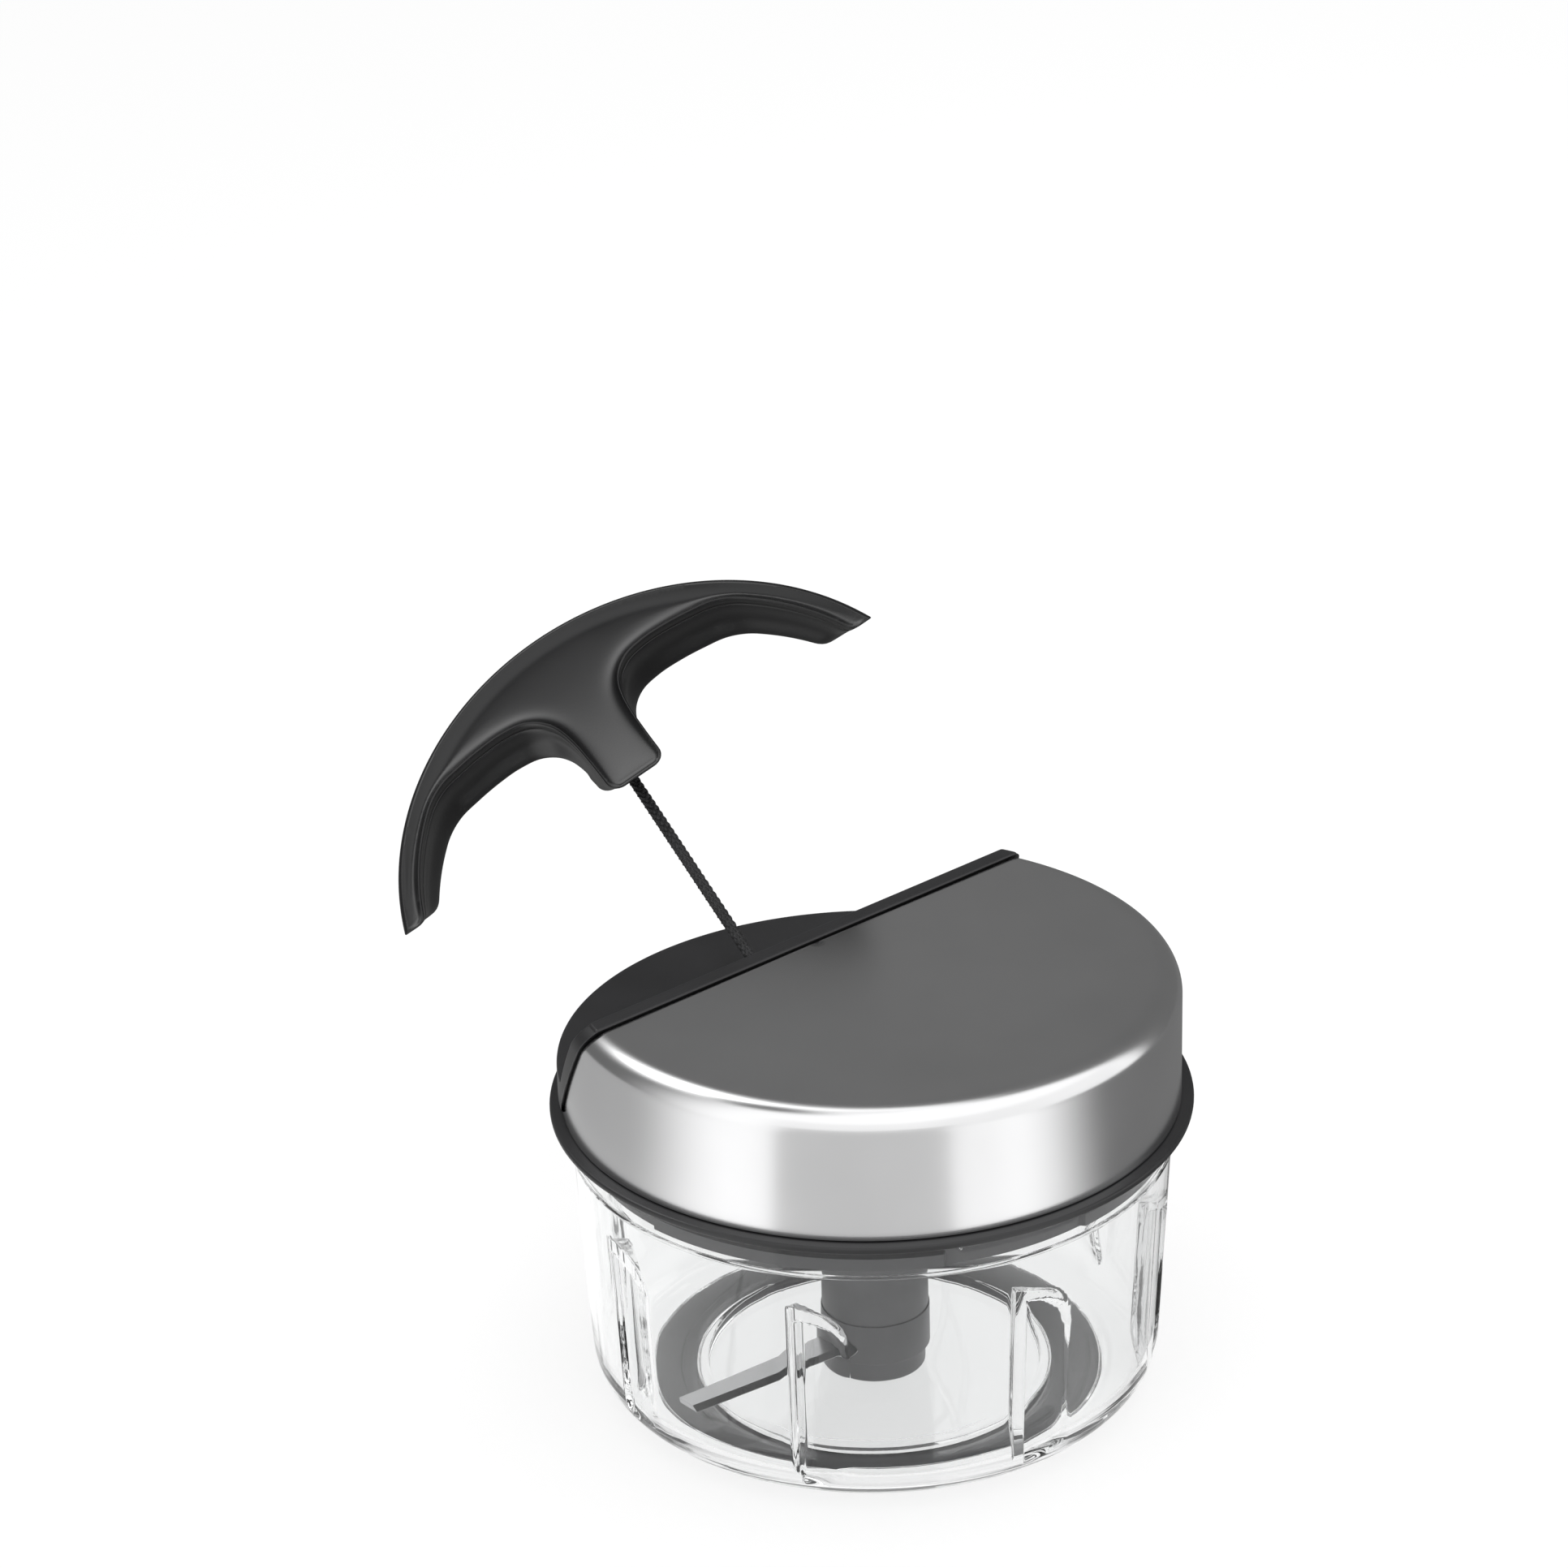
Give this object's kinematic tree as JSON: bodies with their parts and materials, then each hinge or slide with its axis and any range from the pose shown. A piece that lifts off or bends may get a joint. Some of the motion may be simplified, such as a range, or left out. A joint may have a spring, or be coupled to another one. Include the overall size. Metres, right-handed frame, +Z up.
{
  "type": "manual food chopper",
  "caption": "Hand chopper: clear fluted bowl, bladed tower, lid with brushed steel cover, and an arched handle drawn out on its pull cord.",
  "frame": {"origin": "centre of the bowl's foot, on the surface that it stands on", "axes": "+Z up, +Y towards the handle's platform at the back of the lid, +X along the lid's straight wall"},
  "size_m": [0.13, 0.1913, 0.1355],
  "materials": {
    "clear_plastic": "clear, polished",
    "black_plastic": "satin, fine grain",
    "dark_grey_plastic": "satin",
    "grip_rubber": "matt",
    "brushed_steel": "fine brushed",
    "polished_steel": "polished",
    "spring_steel": "blued",
    "bronze_bush": "turned",
    "natural_plastic": "satin",
    "black_braid": "fine braid"
  },
  "bodies": {
    "bowl": {"bowl": "clear_plastic", "anti_slip_ring": "grip_rubber", "blade_pin": "polished_steel"},
    "blade": {"blade_tower": "dark_grey_plastic", "lower_blade": "polished_steel", "upper_blade": "polished_steel"},
    "lid_rise": {"seal_ring": "grip_rubber"},
    "lid": {"lid_base": "black_plastic", "top_housing": "black_plastic", "steel_cover": "brushed_steel", "cord_eyelet": "dark_grey_plastic", "shaft_bush": "bronze_bush", "cord_guard": "dark_grey_plastic", "spring_cover": "dark_grey_plastic", "recoil_spring": "spring_steel", "guard_screw_1": "polished_steel", "guard_screw_2": "polished_steel", "guard_screw_3": "polished_steel", "housing_screw_1": "polished_steel", "housing_screw_2": "polished_steel", "housing_screw_3": "polished_steel", "housing_screw_4": "polished_steel", "inner_cord": "black_braid"},
    "spool": {"cord_spool": "natural_plastic", "drive_shaft": "polished_steel", "drive_dog": "natural_plastic", "spool_screw": "polished_steel", "cord_winding": "black_braid"},
    "pull": {"cord_stretch": "black_braid"},
    "draw": {"cord_knot": "black_braid"},
    "handle": {"handle_top": "black_plastic", "handle_body": "black_plastic", "handle_screw_1": "polished_steel", "handle_screw_2": "polished_steel"}
  },
  "joints": [
    {"name": "blade_spin", "type": "hinge", "parent": "bowl", "child": "blade", "pos_m": [0, 0, 0.02], "axis": [0, 0, 1], "range_deg": [-860, 0]},
    {"name": "lid_lift", "type": "slide", "parent": "bowl", "child": "lid_rise", "axis": [0, 0, 1], "range_m": [0, 0.12]},
    {"name": "lid_twist", "type": "hinge", "parent": "lid_rise", "child": "lid", "pos_m": [0, 0, 0.06], "axis": [0, 0, 1], "range_deg": [-28, 0]},
    {"name": "spool_spin", "type": "hinge", "parent": "lid", "child": "spool", "pos_m": [0, 0, 0.07], "axis": [0, 0, 1], "range_deg": [-860, 0]},
    {"name": "handle_pull", "type": "slide", "parent": "lid", "child": "pull", "axis": [0.2549, 0.9155, 0.3114], "range_m": [0, 0.3], "deforming": ["cord_winding", "inner_cord"]},
    {"name": "handle_stow", "type": "slide", "parent": "pull", "child": "draw", "axis": [-0.2665, -0.9077, -0.3241], "range_m": [0, 0.06737], "deforming": ["cord_stretch"]},
    {"name": "handle_level", "type": "hinge", "parent": "draw", "child": "handle", "pos_m": [0.01796, 0.09499, 0.09844], "axis": [-0.5311, 0.7721, 0.3491], "range_deg": [0, 39.5]}
  ],
  "couplings": [
    {"joint": "blade_spin", "follows": "handle_pull", "rad_per_m": -50},
    {"joint": "spool_spin", "follows": "handle_pull", "rad_per_m": -50},
    {"joint": "handle_level", "follows": "handle_stow", "rad_per_m": 10.232}
  ]
}
